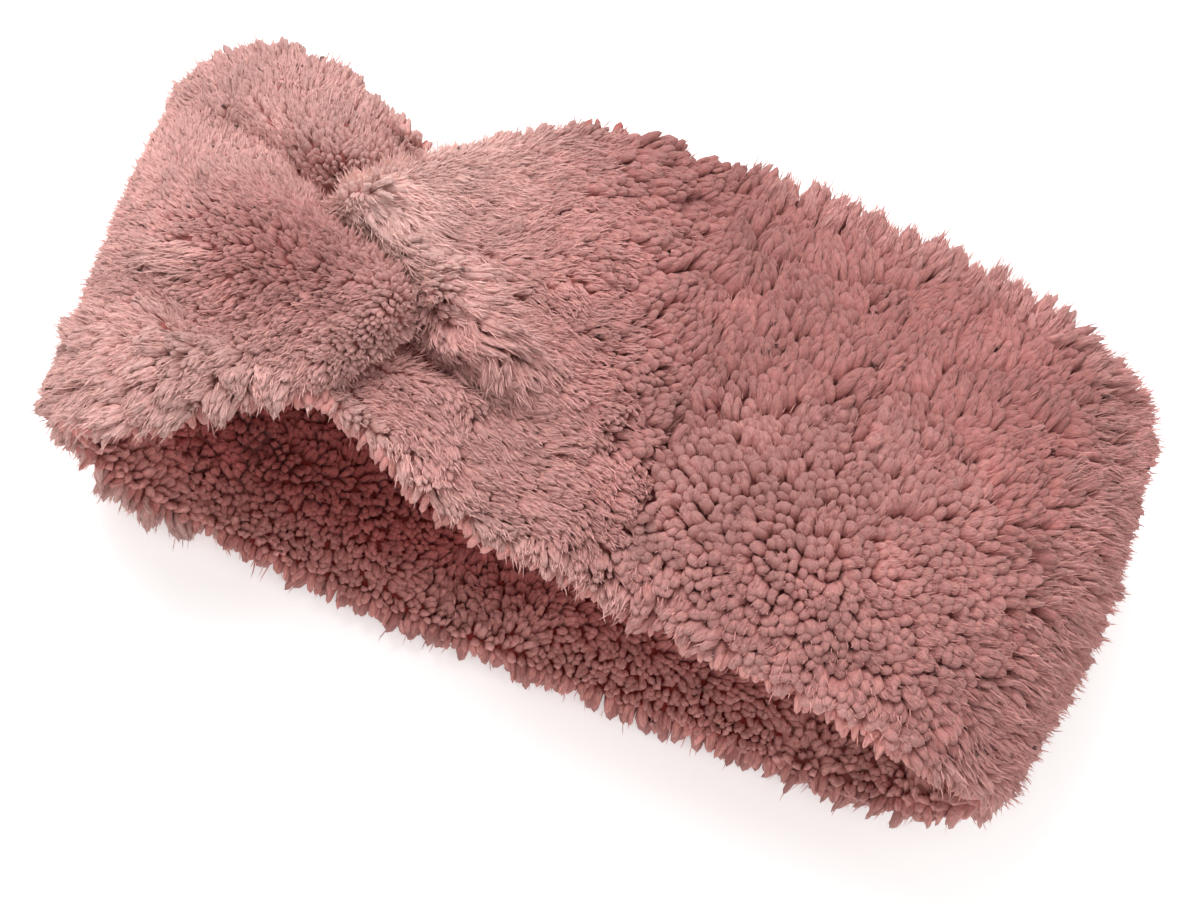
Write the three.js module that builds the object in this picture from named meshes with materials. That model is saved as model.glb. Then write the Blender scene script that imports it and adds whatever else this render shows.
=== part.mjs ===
// Twist-front spa headband: a soft loop of sherpa fleece that lies on its back.
// Millimetres, +Z up. The loop's mouth opens along Y, its length runs along X and the twist is on top.
//
// Every fleece piece is a sheet laid out on the loop's wall. A place in the wall has three
// coordinates: `along`, the distance from the twist round one side of the loop, `across`, the
// distance from the band's middle line, and `depth`, from 0 on the outside to WALL on the inside.
import * as THREE from 'three';

// Overall sizes
const LOOP_LENGTH = 250; // along X, bend to bend
const LOOP_HEIGHT = 77; // along Z, away from the twist
const BEND_REACH = 52; // how far each rounded end runs along X
const BACK_WIDTH = 105; // band width at the back
const RIGHT_WIDTH = 113; // band width over the right lobe
const LEFT_WIDTH = 103; // band width over the left lobe
const BEND_PINCH = 14; // loss of width where the band turns round an end
const BEND_PINCH_REACH = 34; // distance over which the pinch fades
const CROWN = 8; // how far the front's edges curl towards the head

// Wall of the band
const FLEECE = 5.5; // one layer with its pile
const ELASTIC_THICKNESS = 1.1;
const ELASTIC_WIDTH = 30;
const SEAM_THREAD = 1.2; // diameter of a seam's thread bundle
const TACK_THREAD = 0.5; // diameter of a bartack's thread
const CLEARANCE = 0.3; // between pieces that touch on the real band
const HOLLOW = ELASTIC_THICKNESS + TACK_THREAD + 3 * CLEARANCE; // casing between the two layers
const WALL = 2 * FLEECE + HOLLOW;

// Twist
const TWIST_X = -61; // where the two folds meet
const TWIST_WIDTH = 69; // band width where the folds meet
const TWIST_REACH = 27; // distance over which the narrowing and the swelling fade
const TWIST_RISE = 3; // how far the folds stand above the lobes
const TWIST_SINK = 8; // how far they stand into the loop
const NOSE = 18; // how far each fold reaches past the other
const NOSE_TURN = 4; // half height of the crossing between the two noses
const NOSE_FADE = 26; // height over which a nose fades towards the band's edges
const NOSE_REACH = 38; // distance along the band over which a nose fades
const NOSE_GAP = 2; // between the two folds, along X
const LOBE_DRIFT = 8.5; // how far the twist pushes each lobe off the middle line

// Sewing
const BACK_HALF = 70; // half the length of the back panel
const EDGE_INSET = 6; // from the band's edge to the edge seam
const SEAM_GAP = 2 * CLEARANCE; // between the back panel and a strip
const TACK_WAVES = 6; // zigzags in a bartack
const TACK_LENGTH = 4; // of a zigzag, along X

// Spacing of the shapes' stations
const LOBE_AT = 60; // from the twist to where the lobe is plain
const STATION_STEP = 12; // from there on

const BEND_X = LOOP_LENGTH / 2 - BEND_REACH; // where the straight stretches end
const MID_DEPTH = WALL / 2;
const TANGENT_STEP = 0.5; // along the loop, to find which way it runs

const smoothstep = (low, high, value) => {
  const share = Math.min(Math.max((value - low) / (high - low), 0), 1);
  return share * share * (3 - 2 * share);
};
const bell = (distance, reach) => Math.exp(-((distance / reach) ** 2));
const spread = (from, to, count) => (
  Array.from({ length: count + 1 }, (_, i) => from + ((to - from) * i) / count)
);

// One side of the loop, from the twist to its side seam. side is +1 on the right and -1 on the left.
const makeSide = (side, lobeWidth) => {
  const lead = BEND_X + Math.abs(TWIST_X); // straight stretch kept beyond the twist, for the nose
  const top = new THREE.LineCurve(
    new THREE.Vector2(TWIST_X - side * lead, LOOP_HEIGHT),
    new THREE.Vector2(side * BEND_X, LOOP_HEIGHT),
  );
  const bend = new THREE.EllipseCurve(
    side * BEND_X, LOOP_HEIGHT / 2, BEND_REACH, LOOP_HEIGHT / 2,
    Math.PI / 2, side > 0 ? -Math.PI / 2 : (3 * Math.PI) / 2, side > 0,
  );
  const bottom = new THREE.LineCurve(
    new THREE.Vector2(side * BEND_X, 0),
    new THREE.Vector2(side * (BACK_HALF + SEAM_GAP / 2), 0),
  );
  const path = new THREE.CurvePath();
  path.add(top);
  path.add(bend);
  path.add(bottom);
  const length = path.getLength();
  const straight = top.getLength() - lead;
  const bendLength = bend.getLength();
  const end = length - lead;

  const width = (along) => {
    const lobe = lobeWidth + (TWIST_WIDTH - lobeWidth) * bell(along, TWIST_REACH);
    const toBack = smoothstep(straight + bendLength / 2, end, along);
    const pinch = BEND_PINCH * bell(along - straight - bendLength / 2, BEND_PINCH_REACH);
    return lobe + (BACK_WIDTH - lobe) * toBack - pinch;
  };
  const middle = (along) => side * LOBE_DRIFT
    * (1 - bell(along, TWIST_REACH)) * (1 - smoothstep(0.2 * end, 0.75 * end, along));
  // Height of the S-shaped line on which the two folds meet, as a shift towards +X.
  const nose = (y) => -NOSE * Math.tanh(y / NOSE_TURN) * bell(y, NOSE_FADE);

  const place = (along, across, depth) => {
    const y = middle(along) + across;
    const twist = bell(along, TWIST_REACH);
    const run = along + side * nose(y) * bell(along, NOSE_REACH);
    const curl = CROWN * (1 - smoothstep(straight, end, along)) * (2 * across / BACK_WIDTH) ** 2;
    const n = depth + curl + twist * ((TWIST_RISE + TWIST_SINK) * (depth / WALL) - TWIST_RISE);
    const at = (distance) => path.getPoint(Math.min(Math.max(distance / length, 0), 1));
    const here = at(lead + run);
    const tangent = at(lead + run + TANGENT_STEP).sub(at(lead + run - TANGENT_STEP)).normalize();
    const inwards = new THREE.Vector2(side * tangent.y, -side * tangent.x);
    return new THREE.Vector3(here.x + inwards.x * n, y, here.y + inwards.y * n);
  };
  return { end, width, place };
};

// Closes rings of points into one body, with a fan of triangles from the middle of each end ring.
// rings is a list of lists of Vector3, all of one length.
const closeRings = (rings) => {
  const count = rings[0].length;
  const ends = [rings[0], rings[rings.length - 1]].map((ring) => (
    ring.reduce((sum, p) => sum.add(p), new THREE.Vector3()).divideScalar(count)));
  const positions = [...rings.flat(), ...ends].flatMap((p) => [p.x, p.y, p.z]);
  const last = (rings.length - 1) * count;
  const firstMiddle = rings.length * count;
  const index = [];
  for (let j = 0; j < count; j += 1) {
    const next = (j + 1) % count;
    for (let ring = 0; ring < last; ring += count) {
      index.push(ring + j, ring + next, ring + next + count);
      index.push(ring + j, ring + next + count, ring + j + count);
    }
    index.push(firstMiddle, next, j, firstMiddle + 1, last + j, last + next);
  }
  const volume = index.reduce((sum, _, i) => {
    if (i % 3) return sum;
    const [a, b, c] = [0, 1, 2].map((k) => (
      new THREE.Vector3().fromArray(positions, 3 * index[i + k])));
    return sum + a.dot(b.cross(c));
  }, 0);
  if (volume < 0) {
    for (let i = 0; i < index.length; i += 3) {
      [index[i + 1], index[i + 2]] = [index[i + 2], index[i + 1]];
    }
  }
  const geometry = new THREE.BufferGeometry();
  geometry.setAttribute('position', new THREE.Float32BufferAttribute(positions, 3));
  geometry.setIndex(index);
  geometry.computeVertexNormals();
  return geometry;
};

// Section of one fleece layer: a flat sheet with half-round edges. Each point holds a share of the
// half width, from -1 to 1, and an offset in the round of the edge.
const SHEET_SHARES = spread(-1, 1, 12).map((v) => v * (0.45 + 0.55 * v * v));
const EDGE_TURNS = 4;
const sheetSection = [
  ...SHEET_SHARES.map((share) => ({ share, turn: Math.PI / 2 })),
  ...spread(0, 1, EDGE_TURNS).slice(1, -1)
    .map((k) => ({ share: 1, turn: Math.PI / 2 - Math.PI * k })),
  ...[...SHEET_SHARES].reverse().map((share) => ({ share, turn: -Math.PI / 2 })),
  ...spread(0, 1, EDGE_TURNS).slice(1, -1)
    .map((k) => ({ share: -1, turn: -Math.PI / 2 - Math.PI * k })),
];
const sheetRing = (width, thickness, place) => sheetSection.map(({ share, turn }) => {
  const round = thickness / 2;
  const across = share * (width / 2 - round) + round * Math.cos(turn);
  return place(across, round * Math.sin(turn));
});
// Stations along a strip, from its fold to its side seam. Its seams run from the second station to
// the last but one, so that their facets follow the strip's own.
const FOLD_RADIUS = (WALL - FLEECE) / 2; // of the fold, at the middle of the fleece
const FOLD_AT = FOLD_RADIUS + FLEECE / 2 + NOSE_GAP / 2; // where the fold starts to turn
const stripStations = (loop) => {
  const first = FOLD_AT + 2 * SEAM_THREAD;
  const last = loop.end - 2 * SEAM_THREAD;
  const near = spread(0, 1, 6).map((k) => first + (LOBE_AT - first) * k * (0.4 + 0.6 * k));
  const far = spread(LOBE_AT, last, Math.ceil((last - LOBE_AT) / STATION_STEP)).slice(1);
  return [FOLD_AT, ...near, ...far, loop.end];
};

// A fleece strip folded in half: out along the outer layer, round a tight fold at the twist and
// back along the inner layer. The fold closes the casing there.
const foldedStrip = (loop) => {
  const outer = FLEECE / 2;
  const inner = WALL - FLEECE / 2;
  const runs = stripStations(loop);
  const stations = [
    ...[...runs].reverse().map((along) => ({ along, depth: outer, heading: 0 })),
    ...spread(0, 1, 6).slice(1, -1).map((k) => ({
      along: FOLD_AT - FOLD_RADIUS * Math.sin(Math.PI * k),
      depth: MID_DEPTH - FOLD_RADIUS * Math.cos(Math.PI * k),
      heading: Math.PI * k,
    })),
    ...runs.map((along) => ({ along, depth: inner, heading: Math.PI })),
  ];
  const rings = stations.map(({ along, depth, heading }) => (
    sheetRing(loop.width(along), FLEECE, (across, out) => loop.place(
      along - out * Math.sin(heading), across, depth - out * Math.cos(heading)))));
  return closeRings(rings);
};

// A straight fleece panel of the back, `depth` deep in the wall at its middle.
const backPanel = (depth) => {
  const half = BACK_HALF - SEAM_GAP / 2;
  const rings = spread(-half, half, 6).map((x) => (
    sheetRing(BACK_WIDTH, FLEECE, (across, out) => new THREE.Vector3(x, across, depth + out))));
  return closeRings(rings);
};

// A thread of one thickness along a list of points.
const THREAD_SIDES = 6;
const thread = (points, diameter, steps) => {
  const circle = new THREE.Shape(spread(0, 2 * Math.PI, THREAD_SIDES).slice(0, -1)
    .map((a) => new THREE.Vector2((diameter / 2) * Math.cos(a), (diameter / 2) * Math.sin(a))));
  return new THREE.ExtrudeGeometry(circle, {
    extrudePath: new THREE.CatmullRomCurve3(points), steps, bevelEnabled: false,
  });
};
const edgeSeam = (loop, edge) => {
  const round = spread(0, 2 * Math.PI, THREAD_SIDES).slice(0, -1);
  return closeRings(stripStations(loop).slice(1, -1).map((along) => round.map((turn) => loop.place(
    along,
    edge * (loop.width(along) / 2 - EDGE_INSET) + (SEAM_THREAD / 2) * Math.cos(turn),
    MID_DEPTH + (SEAM_THREAD / 2) * Math.sin(turn),
  ))));
};
const backEdgeSeam = (edge) => {
  const half = BACK_HALF - 2 * SEAM_THREAD;
  const y = edge * (BACK_WIDTH / 2 - EDGE_INSET);
  return thread(spread(-half, half, 4).map((x) => new THREE.Vector3(x, y, MID_DEPTH)),
    SEAM_THREAD, 8);
};
const sideSeam = (side) => {
  const half = BACK_WIDTH / 2 - EDGE_INSET;
  return thread(spread(-half, half, 4)
    .map((y) => new THREE.Vector3(side * BACK_HALF, y, MID_DEPTH)), SEAM_THREAD, 6);
};

// The elastic lies on the outer layer, and each bartack zigzags over one of its ends.
const ELASTIC_HALF = BACK_HALF - SEAM_THREAD - 3 * CLEARANCE;
const elastic = () => {
  const strap = new THREE.BoxGeometry(2 * ELASTIC_HALF, ELASTIC_WIDTH, ELASTIC_THICKNESS);
  strap.translate(0, 0, FLEECE + CLEARANCE + ELASTIC_THICKNESS / 2);
  return strap;
};
const bartack = (side) => {
  const z = FLEECE + 2 * CLEARANCE + ELASTIC_THICKNESS + TACK_THREAD / 2;
  const span = ELASTIC_WIDTH - 2 * CLEARANCE;
  const x = side * (ELASTIC_HALF - TACK_LENGTH);
  const points = spread(0, 2 * TACK_WAVES, 2 * TACK_WAVES).map((i) => new THREE.Vector3(
    x + (i % 2 ? TACK_LENGTH / 2 : -TACK_LENGTH / 2), span * (i / (2 * TACK_WAVES) - 0.5), z));
  return thread(points, TACK_THREAD, 5 * TACK_WAVES);
};

const pinkFleece = new THREE.MeshStandardMaterial({ color: '#c99792', roughness: 0.95 });
const pinkLining = new THREE.MeshStandardMaterial({ color: '#b98680', roughness: 0.95 });
const pinkThread = new THREE.MeshStandardMaterial({ color: '#c08c88', roughness: 0.6 });
const whiteElastic = new THREE.MeshStandardMaterial({ color: '#ece6e0', roughness: 0.8 });

const band = new THREE.Group();
const add = (name, geometry, material) => {
  const mesh = new THREE.Mesh(geometry, material);
  mesh.name = name;
  band.add(mesh);
};

const right = makeSide(1, RIGHT_WIDTH);
const left = makeSide(-1, LEFT_WIDTH);
add('right_strip', foldedStrip(right), pinkFleece);
add('left_strip', foldedStrip(left), pinkFleece);
add('back_shell', backPanel(FLEECE / 2), pinkFleece);
add('back_lining', backPanel(WALL - FLEECE / 2), pinkLining);
add('elastic_band', elastic(), whiteElastic);
add('elastic_bartack_right', bartack(1), pinkThread);
add('elastic_bartack_left', bartack(-1), pinkThread);
add('right_side_seam', sideSeam(1), pinkThread);
add('left_side_seam', sideSeam(-1), pinkThread);
add('right_upper_seam', edgeSeam(right, 1), pinkThread);
add('right_lower_seam', edgeSeam(right, -1), pinkThread);
add('left_upper_seam', edgeSeam(left, 1), pinkThread);
add('left_lower_seam', edgeSeam(left, -1), pinkThread);
add('back_upper_seam', backEdgeSeam(1), pinkThread);
add('back_lower_seam', backEdgeSeam(-1), pinkThread);

// The origin is the middle of the band's box, on the surface that it lies on.
const box = new THREE.Box3().setFromObject(band, true);
const centre = box.getCenter(new THREE.Vector3());
band.position.set(-centre.x, -centre.y, -box.min.z);

const headband = new THREE.Group();
headband.add(band);

export default headband;
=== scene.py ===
import math

import bpy
import numpy as np
from bpy.props import FloatProperty, IntProperty, StringProperty
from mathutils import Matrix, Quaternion, Vector


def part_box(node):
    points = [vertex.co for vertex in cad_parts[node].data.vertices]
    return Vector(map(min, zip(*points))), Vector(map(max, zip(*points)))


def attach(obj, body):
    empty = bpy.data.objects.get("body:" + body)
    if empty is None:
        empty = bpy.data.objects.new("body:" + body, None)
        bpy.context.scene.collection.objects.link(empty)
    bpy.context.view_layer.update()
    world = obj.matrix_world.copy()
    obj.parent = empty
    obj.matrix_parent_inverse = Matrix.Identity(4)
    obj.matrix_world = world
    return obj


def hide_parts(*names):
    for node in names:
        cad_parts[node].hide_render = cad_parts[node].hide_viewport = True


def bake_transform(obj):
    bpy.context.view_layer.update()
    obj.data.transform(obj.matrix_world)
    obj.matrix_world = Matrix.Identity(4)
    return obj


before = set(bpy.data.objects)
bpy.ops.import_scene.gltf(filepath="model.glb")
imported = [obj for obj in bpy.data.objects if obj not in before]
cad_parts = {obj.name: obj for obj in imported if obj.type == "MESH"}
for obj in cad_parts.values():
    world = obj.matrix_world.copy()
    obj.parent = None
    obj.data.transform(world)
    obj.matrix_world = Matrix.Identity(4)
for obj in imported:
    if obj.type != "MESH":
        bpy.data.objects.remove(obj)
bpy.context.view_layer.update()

bl_info = {
    "name": "Twist-front fleece headband",
    "version": (1, 0, 0),
    "blender": (4, 5, 0),
    "location": "View3D > Sidebar > Headband",
    "description": "Builds the pile, sewing and stage of a soft twist-front spa headband",
    "category": "Object",
}

# Every shape below is worked out in millimetres and turned to metres when its mesh is made.
MM = 0.001

# Shape of the loop, as the solids have it, in millimetres. First the twist's place, and its nose:
# how far it stands out, how fast it turns over in the middle, and its reach across and along.
TWIST_X = -61.0
NOSE = 18.0
NOSE_TURN = 4.0
NOSE_FADE = 26.0
NOSE_REACH = 38.0
# The twist's swelling up and down, its width, and its reach along the band
TWIST_RISE = 3.0
TWIST_SINK = 8.0
TWIST_WIDTH = 69.0
TWIST_REACH = 27.0
# How much narrower the band is over an end, and how far along that reaches
BEND_PINCH = 14.0
BEND_PINCH_REACH = 34.0
# Sideways drift of the lobes, curl of their edges, and the wall's whole thickness
LOBE_DRIFT = 8.5
CROWN = 8.0
WALL = 13.5
# Half the back panel's length, and how far short of the twist and of the side seams fleece stops
BACK_HALF = 70.0
FOLD_TIP = 2.6
SEAM_STOP = 0.6
# Half the gap between the back panel's two layers
LAYER_GAP = 0.3

# The ground stops this far short of the band's edges, and its pile fills the rest
EDGE_PILE = 4.6
# Corners round a section. The first half of them is the outer face and the second half the inner
# one. A face is taken in four bands, edges first and last.
ROUND = 120
OUTER = ((0, 12), (12, 30), (30, 48), (48, 60))
INNER = ((60, 72), (72, 90), (90, 108), (108, 120))

# Distance between a honeycomb's rows, as a share of the distance between its neighbours
HONEYCOMB = 0.87
# How far a honeycomb's places are shaken, as a share of the same distance
SHAKE = 0.32

# Rings of a lock of wool, as shares of its length, and its sides
FULL_LOCK = ((0.0, 0.36, 0.7, 0.92), 7)
PLAIN_LOCK = ((0.0, 0.5, 0.86), 5)
SLIM_LOCK = ((0.0, 0.5, 0.86), 4)


def smooth(low, high, value):
    """Rises from 0 at low to 1 at high along the cubic 3t^2 - 2t^3."""
    share = np.clip((np.asarray(value, float) - low) / (high - low), 0.0, 1.0)
    return share * share * (3.0 - 2.0 * share)


def bell(distance, reach):
    """Bell curve: e to the power of minus the square of distance over reach."""
    return np.exp(-((np.asarray(distance, float) / reach) ** 2))


def unit(vectors):
    """Each vector of a stack at length 1."""
    return vectors / np.maximum(np.linalg.norm(vectors, axis=-1, keepdims=True), 1e-9)


def drift(points, size, seed):
    """Slow random field from about -1 to 1: the mean of eight sine waves of about the given
    wavelength in seeded directions, at each of a stack of points."""
    rng = np.random.default_rng(seed)
    waves = unit(rng.normal(size=(8, points.shape[-1])))
    waves *= 2.0 * math.pi / (size * rng.uniform(0.7, 1.6, (8, 1)))
    turns = points @ waves.T + rng.uniform(0.0, 2.0 * math.pi, 8)
    return np.sin(turns).sum(-1) / 4.0


class Wall:
    """One side of the loop, from the twist to its side seam; side is 1 on the right, -1 on the
    left. A place in it is its distance along from the twist, across from the band's middle line,
    and its depth from the outer face."""

    def __init__(self, side, sizes):
        self.side = side
        self.height = sizes.loop_height / MM
        self.reach = sizes.bend_reach / MM
        self.bend_x = sizes.loop_length / MM / 2.0 - self.reach
        self.back_width = sizes.back_width / MM
        self.lobe_width = (sizes.right_width if side > 0 else sizes.left_width) / MM
        self.turns = np.linspace(0.0, math.pi, 721)
        x = self.reach * np.sin(self.turns)
        z = self.height / 2.0 * np.cos(self.turns)
        steps = np.hypot(np.diff(x), np.diff(z))
        self.arc = np.concatenate([[0.0], np.cumsum(steps)])
        self.straight = abs(side * self.bend_x - TWIST_X)
        self.bend = self.arc[-1]
        self.end = self.straight + self.bend + self.bend_x - BACK_HALF

    def line(self, distance):
        """Loop's outer line: straight, then half an ellipse over the end, then straight along
        the bottom. Gives x, z and the unit tangent's x, z."""
        turn = np.interp(distance - self.straight, self.arc, self.turns)
        before = np.minimum(distance - self.straight, 0.0)
        after = np.maximum(distance - self.straight - self.bend, 0.0)
        x = self.side * (self.bend_x + self.reach * np.sin(turn) + before - after)
        z = self.height / 2.0 * (1.0 + np.cos(turn))
        tx = self.side * self.reach * np.cos(turn)
        tz = -self.height / 2.0 * np.sin(turn)
        size = np.hypot(tx, tz)
        return x, z, tx / size, tz / size

    def width(self, along):
        """Lobe's width, narrowed by a bell at the twist and another over the end, and eased to
        the back panel's width."""
        lobe = self.lobe_width + (TWIST_WIDTH - self.lobe_width) * bell(along, TWIST_REACH)
        middle = self.straight + self.bend / 2.0
        to_back = smooth(middle, self.end, along)
        pinch = BEND_PINCH * bell(along - middle, BEND_PINCH_REACH)
        return lobe + (self.back_width - lobe) * to_back - pinch

    def middle(self, along):
        """Sideways drift of the lobe away from the twist, eased back to nothing."""
        away = 1.0 - smooth(0.2 * self.end, 0.75 * self.end, along)
        return self.side * LOBE_DRIFT * (1.0 - bell(along, TWIST_REACH)) * away

    def place(self, along, across, depth):
        """Point of the wall: the outer line carried in by the depth, the crown's curl towards
        the edges and the twist's swelling, and shifted along by the nose at the twist."""
        y = self.middle(along) + across
        nose = -NOSE * np.tanh(y / NOSE_TURN) * bell(y, NOSE_FADE)
        run = along + self.side * nose * bell(along, NOSE_REACH)
        flat = 1.0 - smooth(self.straight, self.end, along)
        curl = CROWN * flat * (2.0 * across / self.back_width) ** 2
        swell = (TWIST_RISE + TWIST_SINK) * depth / WALL - TWIST_RISE
        into = depth + curl + bell(along, TWIST_REACH) * swell
        x, z, tx, tz = self.line(run)
        return np.stack([x + self.side * tz * into, y, z - self.side * tx * into], -1)


class Cloth:
    """A closed tube of fleece as a grid: rows along the band, columns round its section."""

    def __init__(self, points, along):
        self.points = points
        self.along = along
        self.tangent = unit(np.gradient(points, axis=0))
        wrapped = np.concatenate([points[:, -1:], points, points[:, :1]], 1)
        normal = np.cross(self.tangent, unit(wrapped[:, 2:] - wrapped[:, :-2]))
        outwards = points - points.mean(1, keepdims=True)
        if (normal * outwards).sum() < 0.0:
            normal = -normal
        self.normal = unit(normal)

    def at(self, grid, row, column):
        """Value of a grid between its rows and columns, by the mean of the four corners weighted
        with how near they are; the columns wrap round."""
        rows, columns = grid.shape[:2]
        r0 = np.clip(np.floor(row).astype(int), 0, rows - 2)
        c0 = np.floor(column).astype(int)
        fr = np.clip(row - r0, 0.0, 1.0)
        fc = column - c0
        if grid.ndim == 3:
            fr = fr[:, None]
            fc = fc[:, None]
        c0 = c0 % columns
        c1 = (c0 + 1) % columns
        near = grid[r0, c0] * (1.0 - fc) + grid[r0, c1] * fc
        far = grid[r0 + 1, c0] * (1.0 - fc) + grid[r0 + 1, c1] * fc
        return near * (1.0 - fr) + far * fr

    def lattice(self, spacing, first, last, rng):
        """Rows and columns of a shaken honeycomb over the grid, from column first to last:
        points a spacing apart along each ring, on rings somewhat closer together."""
        middle = self.points[:, int((first + last) / 2) % self.points.shape[1]]
        run = np.concatenate([[0.0], np.cumsum(np.linalg.norm(np.diff(middle, axis=0), axis=1))])
        count = max(int(run[-1] / (HONEYCOMB * spacing)), 2)
        rows = np.interp(np.linspace(0.0, run[-1], count), run, np.arange(len(run)))
        columns = np.arange(first, last + 1)
        found = []
        for k, row in enumerate(rows):
            here = np.full(len(columns), row)
            ring = self.at(self.points, here, columns.astype(float))
            length = np.linalg.norm(np.diff(ring, axis=0), axis=1)
            total = np.concatenate([[0.0], np.cumsum(length)])
            places = np.arange(0.5 * (k % 2) * spacing, total[-1], spacing)
            places = places + rng.uniform(-SHAKE, SHAKE, len(places)) * spacing
            step = len(rows) / run[-1] * spacing
            shaken = row + rng.uniform(-SHAKE, SHAKE, len(places)) * step * HONEYCOMB
            column = np.interp(places, total, columns)
            found.append(np.stack([np.clip(shaken, 0.0, len(self.points) - 1.001), column], 1))
        return np.concatenate(found).T


def section(half_width, half_thick, turn):
    """Pillow section: across follows the cosine of the turn, and depth the square root of its
    sine, which leaves the faces nearly flat and the edges round."""
    rise = np.sign(np.sin(turn)) * np.sqrt(np.abs(np.sin(turn)))
    return half_width * np.cos(turn), half_thick * rise


def rounded(distance, radius):
    """Share of full size at a distance from a rounded end: a quarter circle."""
    share = np.clip(distance / radius, 0.0, 1.0)
    return np.sqrt(np.maximum(1.0 - (1.0 - share) ** 2, 0.0))


# Heights of the right lobe's relief: the lip's roll and the groove under it, the nose that rides
# over the other lobe, the half that dips under it, and a pucker where the lip runs out
LIP_ROLL = 4.8
LIP_GROOVE = 4.2
NOSE_OVER = 2.4
RIGHT_UNDER = 3.6
PUCKER = 2.6

# Heights of the left lobe's relief: its crease, the swell above it and the roll below it, the
# hollow beside the roll, and the half that dips under the other lobe
CREASE = 4.6
SWELL = 2.0
ROLL = 4.4
HOLLOW = 5.0
LEFT_UNDER = 5.0


def right_lip(x):
    """Line along which the upper half of the right lobe rolls over the lower one, as y at x."""
    return np.interp(x, [-80, -66, -58, -46, -35, -22, -8], [6.5, 5.5, 3.0, -4.5, -10, -13, -14])


def right_relief(x, y, along):
    """Height added to the right lobe's face: a rolled lip that runs out of the twist between
    the two halves of the lobe, a groove under it, the nose that rides over the other lobe while
    the lower half dips under it, and a pucker. Each is a height times a bell or an eased step."""
    above = y - right_lip(x)
    fade = 1.0 - smooth(-36.0, -6.0, x)
    roll = LIP_ROLL * smooth(-1.0, 3.5, above) * bell(np.maximum(above - 4.0, 0.0), 13.0)
    groove = -LIP_GROOVE * bell(above + 3.8, 3.0)
    over = NOSE_OVER * smooth(-1.0, 5.0, y) * bell(along, 20.0)
    under = -RIGHT_UNDER * smooth(1.0, -7.0, y) * bell(along, 13.0)
    pucker = -PUCKER * bell(np.hypot((x + 14.0) / 1.4, y + 1.0), 5.0)
    return fade * (roll + groove) + over + under + pucker


def left_relief(x, y, along):
    """Height added to the left lobe's face: a crease that runs from the twist to the far edge,
    the roll under it that ends in the lower nose, and a hollow beside the roll. Each is a height
    times a bell or an eased step."""
    crease_line = np.interp(x, [-122, -112, -95, -77, -64], [27, 23, 18, 12.5, 5])
    off = y - crease_line
    crease = -CREASE * bell(off, 4.2) * smooth(-120.0, -92.0, x)
    swell = SWELL * bell(off - 12.0, 10.0)
    line = np.interp(x, [-120, -100, -80, -50], [4, 2, -3, -7])
    roll = ROLL * bell(y - line, 13.0) * smooth(-124.0, -92.0, x)
    hollow = -HOLLOW * bell(np.hypot((x + 90.0) / 1.9, y + 24.0), 7.0)
    under = -LEFT_UNDER * smooth(-1.0, 7.0, y) * bell(along, 13.0)
    return crease + swell + roll + hollow + under


def fuller_edges(wall, half, along, turn):
    """Half widths with what each strip's far and near edges stand out or are drawn in by: a bell
    or an eased step along the strip."""
    far_side = smooth(0.0, 0.8, np.cos(turn))
    near_side = smooth(0.0, 0.8, -np.cos(turn))
    if wall.side < 0:
        # The left lobe's far half is the fuller one, and so is the near edge round its end
        far = (9.0 - 5.0 * bell(along, 26.0)) * (1.0 - smooth(50.0, 100.0, along))
        near = 6.0 * bell(along - 84.0, 36.0) + 3.0 * bell(along - 130.0, 24.0)
        return half + far * far_side + near * near_side
    # The right end's far edge stands out, and its near edge is drawn in below
    half = half + 5.5 * bell(along - 160.0, 70.0) * far_side
    half = half + (3.8 * bell(along - 20.0, 18.0) - 1.8 * bell(along - 58.0, 20.0)) * far_side
    return half - 3.0 * bell(along - 250.0, 60.0) * near_side


def strip_cloth(wall, relief, pile):
    """Fleece strip as a tube, its ends closed by quarter circles: the section of each station
    is carried along the wall, with the relief added to the outer face. The half of the fold
    that lies under the other strip's nose reaches further, so that the two close up."""
    # Rows stand 0.8 mm apart over the fold, 1.8 mm further on, and close again at the side seam
    seam = wall.end - SEAM_STOP
    near = np.arange(FOLD_TIP, FOLD_TIP + 12.0, 0.8)
    far = np.linspace(FOLD_TIP + 12.0, seam - 3.0, int((wall.end - 17.0) / 1.8))
    last = np.linspace(seam - 3.0, seam, 5)[1:]
    stations = np.concatenate([near, far, last])
    turns = np.linspace(0.0, 2.0 * math.pi, ROUND, endpoint=False)
    along, turn = np.meshgrid(stations, turns, indexing="ij")
    end_share = rounded(along - FOLD_TIP + 0.05, 7.0)
    end_share = end_share * (0.35 + 0.65 * rounded(seam - along + 0.05, 4.0))
    half = wall.width(along) / 2.0 - EDGE_PILE
    half = half * (0.86 + 0.14 * rounded(along - FOLD_TIP + 0.05, 8.0))
    half = fuller_edges(wall, half, along, turn)
    across, rise = section(half, WALL / 2.0 - pile, turn)
    depth = WALL / 2.0 - rise * end_share
    raw = wall.place(along, across, depth)
    face = smooth(0.0, 0.6, np.sin(turn)) * (0.4 + 0.6 * end_share)
    lift = relief(raw[..., 0], raw[..., 1], along) * face
    lift = lift + 0.5 * drift(raw, 38.0, 5)
    tuck = 8.0 * bell(along - FOLD_TIP, 9.0) * smooth(0.0, -8.0, wall.side * raw[..., 1])
    points = wall.place(along - tuck, across, depth - lift)
    # The ends lie a little askew: their far sides reach out further than their near sides
    askew, pivot = (0.055, 12.0) if wall.side > 0 else (0.078, 0.0)
    askew = askew * smooth(80.0, 125.0, wall.side * points[..., 0])
    points[..., 0] += wall.side * askew * (points[..., 1] - pivot)
    return Cloth(points, along)


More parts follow.
